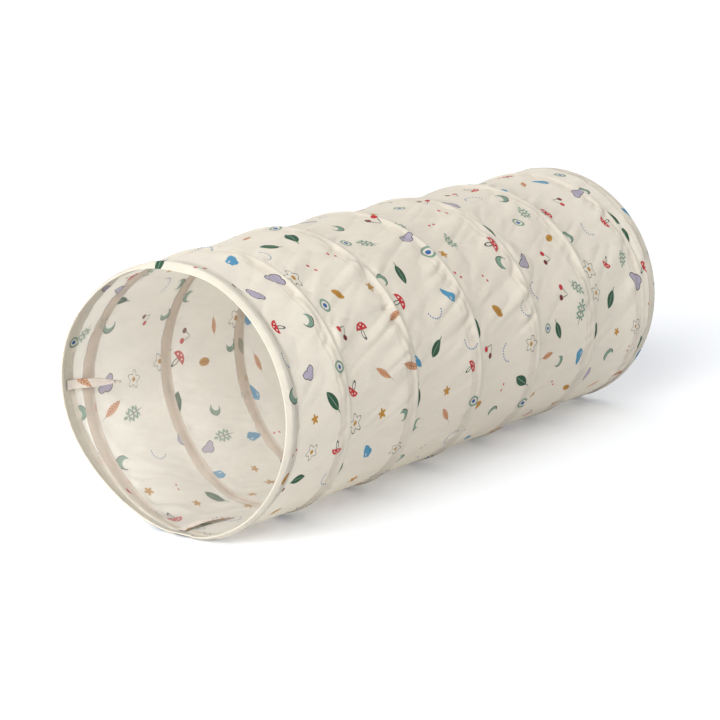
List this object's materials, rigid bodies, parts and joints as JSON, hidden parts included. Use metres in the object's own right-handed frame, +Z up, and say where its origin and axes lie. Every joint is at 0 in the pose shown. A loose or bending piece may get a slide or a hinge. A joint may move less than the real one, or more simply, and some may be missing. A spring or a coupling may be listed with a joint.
{
  "type": "play tunnel",
  "caption": "Pop-up crawl tunnel: a sprung wire helix between end hoops in a printed cloth tube, with tie straps at the mouth; pushes flat for storage.",
  "frame": {"origin": "on the floor under the middle of the tunnel, at the bottom centre of its box", "axes": "+Y along the tunnel from the mouth with the ties to the far end, +Z up, +X to the right seen from that mouth"},
  "size_m": [0.48, 1.2, 0.4764],
  "materials": {
    "printed_cloth": "matt woven cotton with a small all-over print",
    "casing_tape": "matt woven tape, darker than the cloth",
    "hem_binding": "matt woven cotton, folded and stitched",
    "tie_cloth": "matt woven cotton, doubled",
    "spring_steel": "drawn spring wire",
    "crimp_sleeve": "crimped, satin"
  },
  "bodies": {
    "front_end": {"front_hem": "hem_binding", "front_hoop": "spring_steel", "front_ferrule": "crimp_sleeve", "spring_wire": "spring_steel", "cloth_panel_1": "printed_cloth", "wire_casing_1": "casing_tape"},
    "turn_2": {"cloth_panel_2": "printed_cloth", "wire_casing_2": "casing_tape"},
    "turn_3": {"cloth_panel_3": "printed_cloth", "wire_casing_3": "casing_tape"},
    "turn_4": {"cloth_panel_4": "printed_cloth", "wire_casing_4": "casing_tape"},
    "turn_5": {"cloth_panel_5": "printed_cloth", "wire_casing_5": "casing_tape"},
    "turn_6": {"cloth_panel_6": "printed_cloth", "wire_casing_6": "casing_tape"},
    "rear_end": {"rear_hem": "hem_binding", "rear_hoop": "spring_steel", "rear_ferrule": "crimp_sleeve", "cloth_panel_7": "printed_cloth"},
    "side_tie": {"side_tie": "tie_cloth"},
    "bottom_tie": {"bottom_tie": "tie_cloth"}
  },
  "joints": [
    {"name": "collapse", "type": "slide", "parent": "front_end", "child": "rear_end", "axis": [0, -1, 0], "range_m": [0, 1.14], "stiffness_N_per_m": 20, "springref_m": -0.3, "deforming": ["cloth_panel_1", "cloth_panel_2", "cloth_panel_3", "cloth_panel_4", "cloth_panel_5", "cloth_panel_6", "cloth_panel_7", "wire_casing_1", "wire_casing_2", "wire_casing_3", "wire_casing_4", "wire_casing_5", "wire_casing_6", "spring_wire"]},
    {"name": "turn_2_slide", "type": "slide", "parent": "front_end", "child": "turn_2", "axis": [0, -1, 0], "range_m": [0, 0.2]},
    {"name": "turn_3_slide", "type": "slide", "parent": "front_end", "child": "turn_3", "axis": [0, -1, 0], "range_m": [0, 0.39]},
    {"name": "turn_4_slide", "type": "slide", "parent": "front_end", "child": "turn_4", "axis": [0, -1, 0], "range_m": [0, 0.58]},
    {"name": "turn_5_slide", "type": "slide", "parent": "front_end", "child": "turn_5", "axis": [0, -1, 0], "range_m": [0, 0.77]},
    {"name": "turn_6_slide", "type": "slide", "parent": "front_end", "child": "turn_6", "axis": [0, -1, 0], "range_m": [0, 0.96]},
    {"name": "side_tie_swing", "type": "hinge", "parent": "front_end", "child": "side_tie", "pos_m": [-0.2291, -0.594, 0.21631], "axis": [0.0872, 0, -0.9962], "range_deg": [0, 170]},
    {"name": "bottom_tie_swing", "type": "hinge", "parent": "front_end", "child": "bottom_tie", "pos_m": [0, -0.594, 0.00901], "axis": [1, 0, 0], "range_deg": [0, 170]}
  ],
  "couplings": [
    {"joint": "turn_2_slide", "follows": "collapse", "ratio": 0.16667},
    {"joint": "turn_3_slide", "follows": "collapse", "ratio": 0.33333},
    {"joint": "turn_4_slide", "follows": "collapse", "ratio": 0.5},
    {"joint": "turn_5_slide", "follows": "collapse", "ratio": 0.66667},
    {"joint": "turn_6_slide", "follows": "collapse", "ratio": 0.83333}
  ]
}
